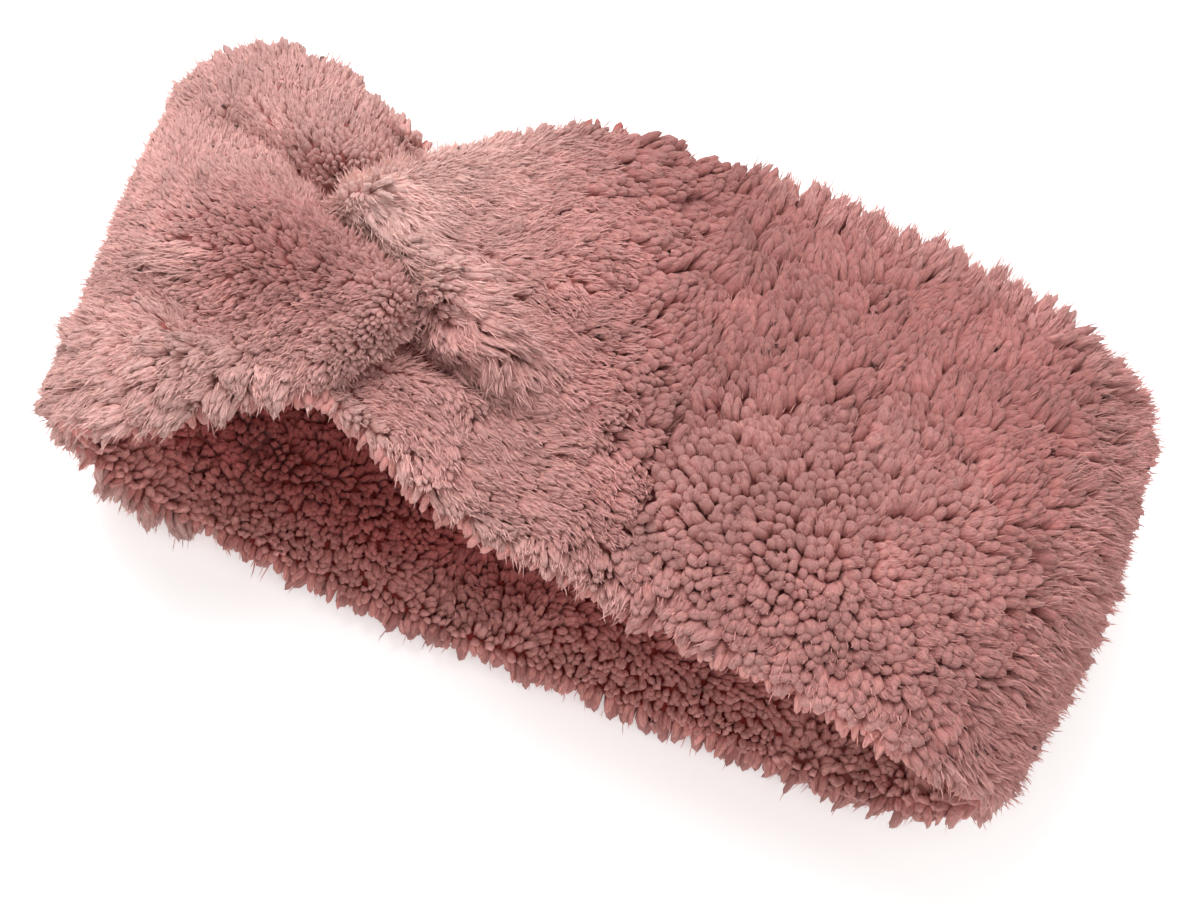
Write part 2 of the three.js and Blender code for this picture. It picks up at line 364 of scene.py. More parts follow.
def back_cloth(sizes, pile):
    """Back panel as a straight tube of the same section, its ends drawn in at the side seams."""
    x = np.concatenate([
        np.linspace(-BACK_HALF + SEAM_STOP, -BACK_HALF + 4.0, 5)[:-1],
        np.linspace(-BACK_HALF + 4.0, BACK_HALF - 4.0, 74),
        np.linspace(BACK_HALF - 4.0, BACK_HALF - SEAM_STOP, 5)[1:],
    ])
    turns = np.linspace(0.0, 2.0 * math.pi, ROUND, endpoint=False)
    x, turn = np.meshgrid(x, turns, indexing="ij")
    share = 0.35 + 0.65 * rounded(BACK_HALF - SEAM_STOP - np.abs(x) + 0.05, 4.0)
    half = sizes.back_width / MM / 2.0 - EDGE_PILE
    # The near edge stands out a little on the left and is drawn in on the right
    half = half + (2.0 - 4.5 * smooth(-20.0, 70.0, x)) * smooth(0.0, 0.8, -np.cos(turn))
    across, rise = section(half, WALL / 2.0 - pile, turn)
    depth = WALL / 2.0 - rise * share
    points = np.stack([x, across, depth], -1)
    points[..., 2] += 0.5 * drift(points, 38.0, 5) * smooth(0.0, 0.6, np.sin(turn))
    return Cloth(points, x)


def srgb(text):
    """Linear colour from an sRGB hex value."""
    parts = [int(text[i:i + 2], 16) / 255.0 for i in (1, 3, 5)]
    linear = [p / 12.92 if p <= 0.04045 else ((p + 0.055) / 1.055) ** 2.4 for p in parts]
    return (*linear, 1.0)


def shift():
    """From the loop's own axes to the part's frame, read from where the back panel lies."""
    low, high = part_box("back_shell")
    return np.array([(low.x + high.x) / 2.0, (low.y + high.y) / 2.0, low.z]) / MM


def rest_on_floor(points):
    """Pile pressed by the floor: heights under 1.6 mm are eased towards 0.25 mm."""
    z = points[..., 2]
    eased = 0.25 + 1.35 * np.exp((np.minimum(z, 1.6) - 1.6) / 1.35)
    points[..., 2] = np.where(z < 1.6, eased, z)
    return points


def make_piece(name, points, quads, triangles, fields, soft=True):
    """One mesh from its corners in millimetres, its four-sided and three-sided faces, and its
    fields, which are values or vectors at the corners."""
    mesh = bpy.data.meshes.new(name)
    points = rest_on_floor(points + shift()) * MM
    mesh.vertices.add(len(points))
    mesh.vertices.foreach_set("co", points.astype(np.float32).ravel())
    corners = np.concatenate([quads.ravel(), triangles.ravel()]).astype(np.int32)
    starts = np.concatenate([
        np.arange(len(quads)) * 4,
        len(quads) * 4 + np.arange(len(triangles)) * 3,
    ]).astype(np.int32)
    mesh.loops.add(len(corners))
    mesh.loops.foreach_set("vertex_index", corners)
    mesh.polygons.add(len(starts))
    mesh.polygons.foreach_set("loop_start", starts)
    mesh.polygons.foreach_set("use_smooth", np.full(len(starts), soft))
    for field, values in fields.items():
        kind = "FLOAT" if values.ndim == 1 else "FLOAT_VECTOR"
        key = "value" if values.ndim == 1 else "vector"
        layer = mesh.attributes.new(field, kind, "POINT")
        layer.data.foreach_set(key, values.astype(np.float32).ravel())
    mesh.update(calc_edges=True)
    if mesh.validate():
        raise RuntimeError(f"{name} has broken faces")
    piece = bpy.data.objects.new(name, mesh)
    bpy.context.scene.collection.objects.link(piece)
    return piece


def tube_faces(rows, columns):
    """Faces of a closed tube: four-sided round it, and a fan from a middle corner at each end.
    The corners are numbered ring by ring, with the two middle corners last."""
    r, c = np.meshgrid(np.arange(rows - 1), np.arange(columns), indexing="ij")
    a = (r * columns + c).ravel()
    b = (r * columns + (c + 1) % columns).ravel()
    quads = np.stack([a, b, b + columns, a + columns], 1)
    c = np.arange(columns)
    n = (c + 1) % columns
    first = rows * columns
    low = np.stack([np.full(columns, first), n, c], 1)
    top = (rows - 1) * columns
    high = np.stack([np.full(columns, first + 1), top + c, top + n], 1)
    return quads, np.concatenate([low, high])


def repeat_faces(faces, count, per):
    """The same faces for each of many copies, whose corners follow each other, so many to one."""
    first = (np.arange(count) * per)[:, None, None]
    return (faces[None] + first).reshape(-1, faces.shape[1])


def make_base(name, points, tone):
    """The knitted ground that the pile stands on: a tube closed at both ends."""
    rows, columns = points.shape[:2]
    ends = np.stack([points[0].mean(0), points[-1].mean(0)])
    corners = np.concatenate([points.reshape(-1, 3), ends])
    quads, triangles = tube_faces(rows, columns)
    faces = np.concatenate([quads[:, [0, 1, 2]], quads[:, [0, 2, 3]], triangles])
    a, b, c = corners[faces[:, 0]], corners[faces[:, 1]], corners[faces[:, 2]]
    if (a * np.cross(b, c)).sum() < 0.0:
        quads, triangles = quads[:, ::-1], triangles[:, ::-1]
    count = len(corners)
    fields = {
        "tip": np.zeros(count),
        "shade": np.zeros(count),
        "tone": np.full(count, tone),
        "fibre": corners,
    }
    return make_piece(name, corners, quads, triangles, fields)


def lock_line(locks, v):
    """Middle line of each lock, and its heading, at shares v of its length. It starts along one
    direction d0 and ends along another d1: a point at share v of its length L is at
    root + L (v d0 + v^2/2 (d1 - d0)), moved by v^2 of the pull of its clump."""
    length = locks["length"][:, None, None]
    lean = locks["lean"][:, None]
    start = unit(locks["normal"] * np.cos(0.35 * lean) + locks["way"] * np.sin(0.35 * lean))
    stop = unit(locks["normal"] * np.cos(1.25 * lean) + locks["way"] * np.sin(1.25 * lean))
    root = (locks["root"] - 1.2 * locks["normal"])[:, None, :]
    pull = locks["pull"][:, None, :]
    bend = (stop - start)[:, None, :]
    middle = root + length * (v * start[:, None, :] + 0.5 * v * v * bend) + v * v * pull
    heading = unit(length * (start[:, None, :] + v * bend) + 2.0 * v * pull)
    return middle, heading


def make_locks(name, locks, build, rng):
    """Locks of wool, each a bent finger along its middle line. Its radius follows the body's
    bulge and falls to nothing at the tip, and waves round it and a little chance make it
    uneven."""
    levels, sides = np.array(build[0]), build[1]
    count = len(locks["root"])
    v = levels[None, :, None]
    middle, heading = lock_line(locks, v)
    ends = lock_line(locks, np.array([0.0, 1.0])[None, :, None])[0]
    side = unit(np.cross(heading, locks["side"][:, None, :]))
    other = np.cross(heading, side)
    point = locks["point"][:, None]
    blunt = np.sqrt(1.0 - levels ** 5)[None, :]
    pointed = np.minimum(1.25 * (1.0 - levels) ** 0.55, 1.0)[None, :]
    body = blunt * (1.0 - point) + pointed * point
    angle = np.arange(sides) * 2.0 * math.pi / sides
    angle = angle[None, :] + rng.uniform(0.0, 6.28, (count, 1))
    wave = 1.0 + 0.18 * np.sin(2.0 * angle + rng.uniform(0.0, 6.28, (count, 1)))
    twist = angle[:, None, :] + v[..., 0][..., None] * rng.uniform(-0.8, 0.8, (count, 1, 1))
    radius = locks["radius"][:, None, None] * body[..., None] * wave[:, None, :]
    radius = radius * rng.uniform(0.84, 1.16, radius.shape)
    wide = locks["wide"][:, None, None]
    ring = side[:, :, None, :] * (np.cos(twist) * radius * wide)[..., None]
    ring = ring + other[:, :, None, :] * (np.sin(twist) * radius / wide)[..., None]
    rings = middle[:, :, None, :] + ring
    per = sides * len(levels) + 2
    points = np.concatenate([rings.reshape(count, -1, 3), ends], 1)
    quads, triangles = [repeat_faces(f, count, per) for f in tube_faces(len(levels), sides)]
    share = np.concatenate([np.repeat(levels, sides), [0.0, 1.0]])
    around = np.tile(np.arange(sides), len(levels)) * 2.0 * math.pi / sides
    fibre = np.zeros((count, per, 3))
    size = locks["radius"][:, None]
    fibre[:, :-2, 0] = size * np.cos(around)
    fibre[:, :-2, 1] = size * np.sin(around)
    fibre[:, :, 2] = share * locks["length"][:, None]
    fibre += rng.uniform(0.0, 400.0, (count, 1, 3))
    fields = {
        "tip": np.tile(share, count),
        "shade": np.repeat(locks["shade"], per),
        "tone": np.repeat(locks["tone"], per),
        "fibre": fibre.reshape(-1, 3),
    }
    return make_piece(name, points.reshape(-1, 3), quads, triangles, fields)


def make_fibres(name, locks, count, length, thick, rng):
    """Loose fibres: three-sided threads, flattened with one edge up, that leave a lock's side
    part of the way up, go its way with some chance, and taper to a point. The middle line is a
    parabola, as a lock's is."""
    picked = rng.integers(0, len(locks["root"]), count)
    lock = {key: value[picked] for key, value in locks.items()}
    share = rng.uniform(0.1, 0.85, (count, 1, 1))
    root, heading = [found[:, 0] for found in lock_line(lock, share)]
    out = unit(unit(np.cross(heading, rng.normal(size=(count, 3)))) + 0.7 * lock["normal"])
    root = root + out * 0.8 * lock["radius"][:, None]
    chance = rng.normal(0.0, 1.0, (2, count, 3))
    start = unit(heading + 0.2 * out + 0.14 * chance[0])
    stop = unit(heading + 0.15 * lock["normal"] + 0.26 * chance[1])
    long = (length * rng.uniform(0.55, 1.3, count))[:, None, None]
    v = np.array([0.0, 0.55])[None, :, None]
    bend = (stop - start)[:, None, :]
    middle = root[:, None, :] + long * (v * start[:, None, :] + 0.5 * v * v * bend)
    tip = root + long[:, 0] * 0.5 * (start + stop)
    side = unit(np.cross(lock["normal"] + 0.25 * chance[0], start))
    other = np.cross(start, side)
    turn = math.pi / 2.0 + np.arange(3) * 2.0 * math.pi / 3.0
    around = 1.3 * side[:, None, :] * np.cos(turn)[None, :, None]
    around = around + 0.7 * other[:, None, :] * np.sin(turn)[None, :, None]
    radius = thick * np.array([1.0, 0.75])[None, :, None, None]
    rings = middle[:, :, None, :] + radius * around[:, None]
    points = np.concatenate([rings.reshape(count, 6, 3), tip[:, None, :]], 1)
    quads = np.array([[0, 1, 4, 3], [1, 2, 5, 4], [2, 0, 3, 5]])
    triangles = np.array([[0, 2, 1], [3, 4, 6], [4, 5, 6], [5, 3, 6]])
    quads, triangles = [repeat_faces(f, count, 7) for f in (quads, triangles)]
    grown = np.array([0.0, 0.0, 0.0, 0.5, 0.5, 0.5, 1.0])
    fields = {
        "tip": (share[:, 0] + (1.0 - share[:, 0]) * (0.35 + 0.65 * grown[None])).ravel(),
        "shade": np.repeat(lock["shade"] + rng.normal(0.0, 0.7, count), 7),
        # Painted light: loose fibres are toned paler than their locks, to offset the shade they
        # cast on one another and for the light that shines through real fibres
        "tone": np.repeat(lock["tone"] + 0.16, 7),
        "fibre": points.reshape(-1, 3),
    }
    return make_piece(name, points.reshape(-1, 3), quads, triangles, fields, soft=False)


def places(cloth, spacing, bands, rng):
    """Shaken honeycomb over some bands of columns, with the cloth's directions at each place."""
    found = [cloth.lattice(spacing, *band, rng) for band in bands]
    row, column = np.concatenate(found, 1)
    normal = unit(cloth.at(cloth.normal, row, column))
    tangent = unit(cloth.at(cloth.tangent, row, column))
    tangent = unit(tangent - normal * (tangent * normal).sum(-1, keepdims=True))
    over = np.cross(normal, tangent)
    corners = np.arange(ROUND + 1)
    turn = np.interp(column % ROUND, corners, np.linspace(0.0, 2.0 * math.pi, ROUND + 1))
    return {
        "root": cloth.at(cloth.points, row, column),
        "normal": normal,
        "tangent": tangent,
        "over": over * np.where(over[:, 1:2] < 0.0, -1.0, 1.0),
        "along": cloth.at(cloth.along, row, column),
        "edge": np.abs(np.cos(turn)),
    }


def choose(found, shares, kind, rng):
    """Places that belong to one kind of pile. shares gives each kind's share at the places, and
    a slow random level between 0 and 1 says which kind has a place."""
    level = 0.5 + 0.42 * drift(found["root"], 9.0, 77) + rng.normal(0.0, 0.05, len(found["root"]))
    level = np.clip(level, 0.0, 0.999)
    tops = np.cumsum(np.stack(shares(found), 0), 0)
    tops = tops / tops[-1]
    bottom = tops[kind - 1] if kind else np.zeros(len(level))
    keep = (level >= bottom) & (level < tops[kind])
    return {key: value[keep] for key, value in found.items()}


def nearest(points, centres):
    """Number of the centre nearest each point, from all their squared distances, in slices."""
    size = (centres ** 2).sum(-1)
    slices = np.array_split(points, max(len(points) // 1500, 1))
    return np.concatenate([np.argmin(size - 2.0 * (part @ centres.T), 1) for part in slices])


def locks_of(found, centres, pile, way_along, way_over, lean, length, tone, rng, gather=0.55,
             dome=0.3):
    """Turns places into locks of one kind of pile, several to a clump. The locks of a clump share
    its lean, its direction in the cloth's own two directions, its shade and its height, their
    tips are pulled towards its middle, and the outer ones are shorter, so that its head is
    round."""
    count = len(found["root"])
    one = np.ones(count)
    of = nearest(found["root"], centres["root"])
    many = len(centres["root"])
    clump_turn = rng.normal(0.0, 0.22, many)[of]
    clump_lean = rng.normal(0.0, 8.0, many)[of]
    clump_size = rng.uniform(0.78, 1.2, many)[of]
    clump_shade = rng.normal(0.0, 0.5, many)[of]
    angle = np.arctan2(way_over * one, way_along * one) + clump_turn + rng.normal(0.0, 0.12, count)
    angle = angle + 0.4 * drift(found["root"], 22.0, 31)
    way = found["tangent"] * np.cos(angle)[:, None] + found["over"] * np.sin(angle)[:, None]
    lean = np.maximum(lean * one + clump_lean + rng.normal(0.0, 4.0, count), 0.0)
    away = found["root"] - centres["root"][of]
    away = away - found["normal"] * (away * found["normal"]).sum(-1, keepdims=True)
    reach = np.clip(np.linalg.norm(away, axis=1) / (0.62 * pile["clump"]), 0.0, 1.0)
    size = clump_size * (1.0 - dome * reach ** 2) * rng.uniform(0.92, 1.08, count)
    return {
        "root": found["root"],
        "normal": found["normal"],
        "way": way,
        "pull": -(gather * one)[:, None] * away,
        "side": unit(rng.normal(size=(count, 3))),
        "lean": np.radians(lean),
        "length": length * one * size,
        "radius": pile["radius"] * rng.uniform(0.85, 1.2, count),
        "point": pile["point"] * one,
        "wide": rng.uniform(0.85, 1.2, count),
        "shade": np.clip(clump_shade + rng.normal(0.0, 0.3, count), -1.2, 1.2),
        "tone": tone * one,
    }


# Kinds of pile on a face. Locks stand a spacing apart, in clumps a clump apart, in millimetres as
# their radius and length are. point is 0 on a blunt lock and 1 on a pointed one, tone is above 0
# on pale pile and below 0 on deep pile, lean is in degrees, and gather is how far a clump's tips
# are drawn to its middle. The tones are partly painted light: the left lobe's pile is toned paler
# than the right's for the key light on the left. build is a lock's rings and sides, and fibres
# gives the number, the length and the radius of the loose fibres.
RIGHT_PILE = {
    "crown": dict(spacing=2.30, clump=8.0, radius=1.62, length=5.8, point=0.1, tone=0.20,
                  lean=(24.0, 58.0), gather=0.15, build=FULL_LOCK, fibres=(5000, 2.6, 0.13)),
    "lobe": dict(spacing=2.10, clump=8.0, radius=1.40, length=7.2, point=0.3, tone=-0.06,
                 lean=(20.0, 62.0), gather=0.2, build=FULL_LOCK, fibres=(5500, 2.6, 0.12)),
    "twist": dict(spacing=1.50, clump=6.0, radius=1.00, length=6.4, point=0.45, tone=0.18,
                  lean=(20.0, 76.0), gather=0.2, build=PLAIN_LOCK, fibres=(14200, 3.0, 0.14)),
    "end": dict(spacing=1.70, clump=4.0, radius=0.98, length=7.4, point=0.5, tone=0.36,
                lean=(20.0, 64.0), gather=0.45, build=PLAIN_LOCK, fibres=(10000, 3.4, 0.14)),
    "lip": dict(spacing=1.65, clump=5.0, radius=1.05, length=12.0, point=0.5, tone=0.26,
                lean=(82.0, 82.0), gather=0.45, build=PLAIN_LOCK, fibres=(3000, 3.6, 0.14)),
    "far_edge": dict(spacing=2.10, clump=5.5, radius=1.28, length=9.0, point=0.5, tone=0.50,
                     lean=(20.0, 50.0), gather=0.5, build=PLAIN_LOCK, fibres=(4500, 3.4, 0.12)),
}
# Painted light: the left lobe's tones are set paler than the right lobe's, partly for the key
# light on the left
LEFT_PILE = {
    "velvet": dict(spacing=1.42, clump=4.4, radius=1.00, length=4.2, point=0.4, tone=0.38,
                   lean=62.0, gather=0.15, build=SLIM_LOCK, fibres=(17000, 2.4, 0.14)),
    "low": dict(spacing=1.50, clump=7.0, radius=1.05, length=8.2, point=0.25, tone=0.62,
                lean=66.0, gather=0.55, build=PLAIN_LOCK, fibres=(7000, 3.0, 0.14)),
    "swirl": dict(spacing=0.95, clump=5.0, radius=0.52, length=7.5, point=0.5, tone=0.80,
                  lean=72.0, gather=0.45, build=SLIM_LOCK, fibres=(150, 5.0, 0.13)),
}
UNDER_PILE = {
    "under": dict(spacing=2.45, clump=4.6, radius=1.5, point=0.4, build=PLAIN_LOCK,
                  fibres=(2500, 3.6, 0.14)),
}
RIGHT_LINING = {"inner": dict(spacing=2.0, clump=3.8, build=SLIM_LOCK, fibres=(2500, 2.0, 0.13))}
LEFT_LINING = {"inner": dict(spacing=1.85, clump=3.4, build=SLIM_LOCK, fibres=(2000, 2.0, 0.13))}
BACK_LINING = {"inner": dict(spacing=1.65, clump=3.2, build=SLIM_LOCK, fibres=(4000, 2.0, 0.13))}

# Tone of the strips' ground, which is seen only between the locks: toned deep as painted shade
# between them
GROUND_PAINTED_SHADE = -0.9

# The right lobe's pile parts at a crown, given as distances along and across
CROWN_ALONG = 119.0
CROWN_Y = -20.0


def right_shares(found):
    """Shares of the kinds of pile on the right lobe: popcorn round the crown, plain locks
    between, fine pile near the twist, long strands over the end, combed pleats along the rolled
    lip, and broad petals along the far edge."""
    along, (x, y) = found["along"], found["root"][:, :2].T
    away = np.hypot((along - CROWN_ALONG) / 1.35, y - CROWN_Y)
    petal = smooth(0.82, 0.95, found["edge"]) * smooth(20.0, 30.0, y) * smooth(60.0, 90.0, along)
    crown = (1.0 - smooth(24.0, 44.0, away)) * (1.0 - petal)
    left = 1.0 - crown - petal
    above = y - right_lip(x)
    lip = smooth(-4.0, 1.0, above) * (1.0 - smooth(3.0, 14.0, above))
    lip = lip * smooth(-70.0, -60.0, x) * (1.0 - smooth(-34.0, -12.0, x)) * left
    left = left - lip
    fine = (1.0 - smooth(48.0, 78.0, along + 0.5 * y)) * left
    left = left - fine
    strand = smooth(148.0, 176.0, along) * left
    return crown, left - strand, fine, strand, lip, petal


def right_locks(cloth, rng):
    """Pile of the right strip's outer face. It parts at a crown low on the lobe, where the locks
    stand up and show their round ends, and leans away from there all round."""
    parts = []
    for kind, pile in enumerate(RIGHT_PILE.values()):
        centres = places(cloth, pile["clump"], OUTER, rng)
        found = choose(places(cloth, pile["spacing"], OUTER, rng), right_shares, kind, rng)
        u, y = found["along"], found["root"][:, 1]
        away = np.hypot((u - CROWN_ALONG) / 1.3, y - CROWN_Y)
        edge = smooth(0.9, 1.0, found["edge"])
        # near marks the near edge, where the pile is gathered more and toned paler as painted
        # sheen
        near = edge * smooth(-4.0, -16.0, y)
        # Combed out of the twist, and away from the crown further on
        from_crown = unit(np.stack([u - CROWN_ALONG, y - CROWN_Y], -1))
        from_crown[:, 0] *= np.where(from_crown[:, 0] < 0.0, 0.4, 1.0)
        combed = (1.0 - smooth(30.0, 100.0, u + 8.0 * drift(found["root"], 30.0, 11)))[:, None]
        way = from_crown * (1.0 - combed) + np.array([0.95, -0.3]) * combed
        calm = np.minimum(np.linalg.norm(way, axis=1), 1.0)
        least, most = pile["lean"]
        lean = (least + (most - least) * smooth(2.0, 46.0, away)) * (1.0 - 0.4 * edge)
        lean = lean * (0.45 + 0.55 * calm) * (0.5 + 0.5 * smooth(3.0, 12.0, u))
        length = pile["length"] * (0.6 + 0.4 * smooth(2.0, 18.0, u))
        nose = bell(u, 26.0) * smooth(-6.0, 4.0, y)
        # Painted shade: the colour deepens slowly away from the twist, whatever the kind of pile,
        # as shade falling away from the key light on the left
        painted_shade_away = -0.62 * smooth(25.0, 95.0, u + 0.5 * y)
        parts.append(locks_of(
            found, centres, pile, way[:, 0], way[:, 1], lean, length,
            pile["tone"] + 0.35 * near + 0.85 * nose + painted_shade_away, rng,
            gather=pile["gather"] + 0.2 * near, dome=0.12,
        ))
    return parts


# A pale tuft on the left lobe, given as x and y
SWIRL_X = -99.0
SWIRL_Y = -14.0


def left_shares(found):
    """Shares of the kinds of pile on the left lobe: velvety above, a long pale tuft at the
    swirl, and clumped below."""
    x, y = found["root"][:, :2].T
    swirl = smooth(0.4, 0.6, bell(np.hypot((x - SWIRL_X) / 1.5, y - SWIRL_Y), 4.6))
    swirl = swirl * smooth(60.0, 66.0, found["root"][:, 2])
    high = smooth(-38.0, -22.0, y) * (1.0 - swirl)
    return high, 1.0 - high - swirl, swirl


def left_locks(cloth, rng):
    """Pile of the left strip's outer face: short and velvety over the rolls, and longer, in
    clumps, below. It leans away from the twist, up over the rolls and down below them."""
    parts = []
    for kind, (name, pile) in enumerate(LEFT_PILE.items()):
        centres = places(cloth, pile["clump"], OUTER, rng)
        found = choose(places(cloth, pile["spacing"], OUTER, rng), left_shares, kind, rng)
        x, y = found["root"][:, :2].T
        edge = smooth(0.9, 1.0, found["edge"])
        far = smooth(0.75, 1.0, found["edge"]) * smooth(0.0, 10.0, y)
        at_fold = 0.35 + 0.65 * smooth(3.0, 14.0, found["along"])
        # Redder, curlier pile on the roll's end, beside the tuft
        curly = bell(np.hypot((x + 78.0) / 1.5, y + 8.0), 13.0)
        way_over = -0.5 if name == "swirl" else np.clip((y + 12.0) / 20.0, -1.5, 1.1)
        # The tone is 0.1 paler at the edges as painted sheen
        parts.append(locks_of(
            found, centres, pile, 1.0, way_over,
            pile["lean"] * (1.0 - 0.4 * edge) * (1.0 - 0.35 * curly) * at_fold,
            pile["length"] * (1.0 + 0.4 * far), pile["tone"] + 0.1 * edge - 0.95 * curly, rng,
            gather=pile["gather"] + 0.25 * curly, dome=0.12 + 0.2 * (name == "low"),
        ))
    return parts


def inner_locks(cloth, lining, rng):
    """Pile of a face that is turned to the head: low, round and close, with a random lean."""
    pile = lining["inner"]
    centres = places(cloth, pile["clump"], INNER, rng)
    found = places(cloth, pile["spacing"], INNER, rng)
    x, y = found["root"][:, :2].T
    turn = 3.0 * drift(found["root"], 40.0, 21)
    # Where a strip folds back on itself its two piles are brushed alike
    fold = bell(x - TWIST_X, 16.0) * smooth(50.0, 60.0, found["root"][:, 2])
    edge = smooth(0.9, 1.0, found["edge"])
    pile = {**pile, "radius": 0.68 * pile["spacing"], "point": 0.2 + 0.3 * edge}
    # Painted light: the lining is toned paler along its near edge, where it lies in shade
    near = 1.3 * smooth(0.6, 0.95, found["edge"]) * (y < 0.0)
    # Painted shade: the lining is toned deeper towards the left, where the mouth of the loop is
    # deep, and paler towards the right
    return [locks_of(
        found, centres, pile, np.cos(turn), np.sin(turn), 36.0 * (1.0 - 0.4 * edge),
        4.8 + 1.2 * edge, 0.75 * smooth(-50.0, 60.0, x) - 0.25 + fold + near, rng, dome=0.2,
    )]


def under_locks(cloth, rng):
    """Pile of the back panel's outer face, pressed flat by the floor."""
    pile = UNDER_PILE["under"]
    centres = places(cloth, pile["clump"], OUTER, rng)
    found = places(cloth, pile["spacing"], OUTER, rng)
    edge = smooth(0.8, 1.0, found["edge"])
    return [locks_of(
        found, centres, pile, 0.3, np.sign(found["root"][:, 1]), 70.0 - 40.0 * edge,
        4.8 + 2.3 * edge, 0.1 * edge - 0.5, rng,
    )]


def feed(tree, made, inputs):
    """Gives a node's sockets their values, or the output sockets that feed them."""
    for key, value in inputs.items():
        if isinstance(value, bpy.types.NodeSocket):
            tree.links.new(value, made.inputs[key])
        else:
            made.inputs[key].default_value = value


def node(tree, kind, inputs=None, **settings):
    """Adds a node with its settings; inputs maps a socket's name or number to a value or to the
    output socket that feeds it."""
    made = tree.nodes.new(kind)
    for key, value in settings.items():
        setattr(made, key, value)
    feed(tree, made, inputs or {})
    return made


def material(name):
    """New material with an empty tree, its shader and its output."""
    made = bpy.data.materials.new(name)
    made.use_nodes = True
    tree = made.node_tree
    tree.nodes.clear()
    shader = node(tree, "ShaderNodeBsdfPrincipled")
    node(tree, "ShaderNodeOutputMaterial", {"Surface": shader.outputs[0]})
    return made, tree, shader


def fleece(name, root, tip, pale, deep, bumpy):
    """Sherpa fleece: brushed polyester pile on a knitted ground. Dull, with a soft sheen at
    grazing angles. It is painted dark and red at the ground and pale at the ends of the locks, as
    painted shade between the locks on top of the shade they cast, and its tone adds painted light
    and shade in places. Its locks are bumpy with fibres, and a loose fibre is smooth."""
    made, tree, shader = material(name)
    fields = {label: node(tree, "ShaderNodeAttribute", attribute_name=label)
              for label in ("tip", "tone", "shade", "fibre")}
    # Painted shade: the colour runs from the root colour, darkened and reddened for the shade
    # between the locks, to the tip colour
    share = node(tree, "ShaderNodeMath",
                 {0: fields["tip"].outputs["Fac"], 1: 0.75}, operation="POWER")
    body = node(tree, "ShaderNodeMix", {"Factor": share.outputs[0], 6: srgb(root), 7: srgb(tip)},
                data_type="RGBA")
    # Tone pales the pile above 0 and deepens it below 0; part of it is painted light and shade,
    # set where the locks are made
    tone = fields["tone"].outputs["Fac"]
    light = node(tree, "ShaderNodeMath", {0: tone, 1: 0.75}, operation="MULTIPLY", use_clamp=True)
    paler = node(tree, "ShaderNodeMix",
                 {"Factor": light.outputs[0], 6: body.outputs[2], 7: srgb(pale)},
                 data_type="RGBA")
    dark = node(tree, "ShaderNodeMath", {0: tone, 1: -0.8}, operation="MULTIPLY", use_clamp=True)
    deeper = node(tree, "ShaderNodeMix",
                  {"Factor": dark.outputs[0], 6: paler.outputs[2], 7: srgb(deep)},
                  data_type="RGBA")
    place = node(tree, "ShaderNodeTexCoord")
    # Patches of a few centimetres where the pile is brushed one way and looks paler
    patch = node(tree, "ShaderNodeTexNoise",
                 {"Vector": place.outputs["Object"], "Scale": 45.0, "Detail": 2.0})
    shade = node(tree, "ShaderNodeMath",
                 {0: fields["shade"].outputs["Fac"], 1: 0.10, 2: 1.0}, operation="MULTIPLY_ADD")
    swing = node(tree, "ShaderNodeMapRange",
                 {"Value": patch.outputs["Fac"], "From Min": 0.3, "From Max": 0.7,
                  "To Min": 0.9, "To Max": 1.1})
    value = node(tree, "ShaderNodeMath",
                 {0: shade.outputs[0], 1: swing.outputs[0]}, operation="MULTIPLY")
    # Fibres run along each lock. They are finer than the render shows, so they are drawn as
    # streaks 0.5 mm wide and 1.8 mm long.
    along = node(tree, "ShaderNodeVectorMath",
                 {0: fields["fibre"].outputs["Vector"], 1: (1.0, 1.0, 0.3)}, operation="MULTIPLY")
    strands = node(tree, "ShaderNodeTexNoise",
                   {"Vector": along.outputs[0], "Scale": 1.9, "Detail": 3.0, "Roughness": 0.7})
    streak = node(tree, "ShaderNodeMapRange",
                  {"Value": strands.outputs["Fac"], "From Min": 0.32, "From Max": 0.68,
                   "To Min": 0.76, "To Max": 1.18})
    # The grain of single fibres is drawn 1 mm wide, for the same reason
    grain = node(tree, "ShaderNodeTexNoise",
                 {"Vector": place.outputs["Object"], "Scale": 900.0, "Detail": 3.0,
                  "Roughness": 0.7})
    speck = node(tree, "ShaderNodeMapRange",
                 {"Value": grain.outputs["Fac"], "From Min": 0.35, "From Max": 0.65,
                  "To Min": 0.9, "To Max": 1.07})
    body_value = node(tree, "ShaderNodeMath",
                      {0: value.outputs[0], 1: streak.outputs[0]}, operation="MULTIPLY")
    total = node(tree, "ShaderNodeMath",
                 {0: body_value.outputs[0], 1: speck.outputs[0]}, operation="MULTIPLY")
    colour = node(tree, "ShaderNodeHueSaturation",
                  {"Saturation": 1.02, "Value": total.outputs[0], "Color": deeper.outputs[2]})
    if bumpy:
        bump = node(tree, "ShaderNodeBump",
                    {"Strength": 0.9, "Distance": 0.0008, "Height": strands.outputs["Fac"]})
        feed(tree, shader, {"Normal": bump.outputs[0]})
    feed(tree, shader, {
        "Base Color": colour.outputs[0],
        "Roughness": 0.95,
        "Specular IOR Level": 0.15,
        "Sheen Weight": 0.35,
        "Sheen Roughness": 0.5,
        "Sheen Tint": srgb("#f2cfc8"),
    })
    return made


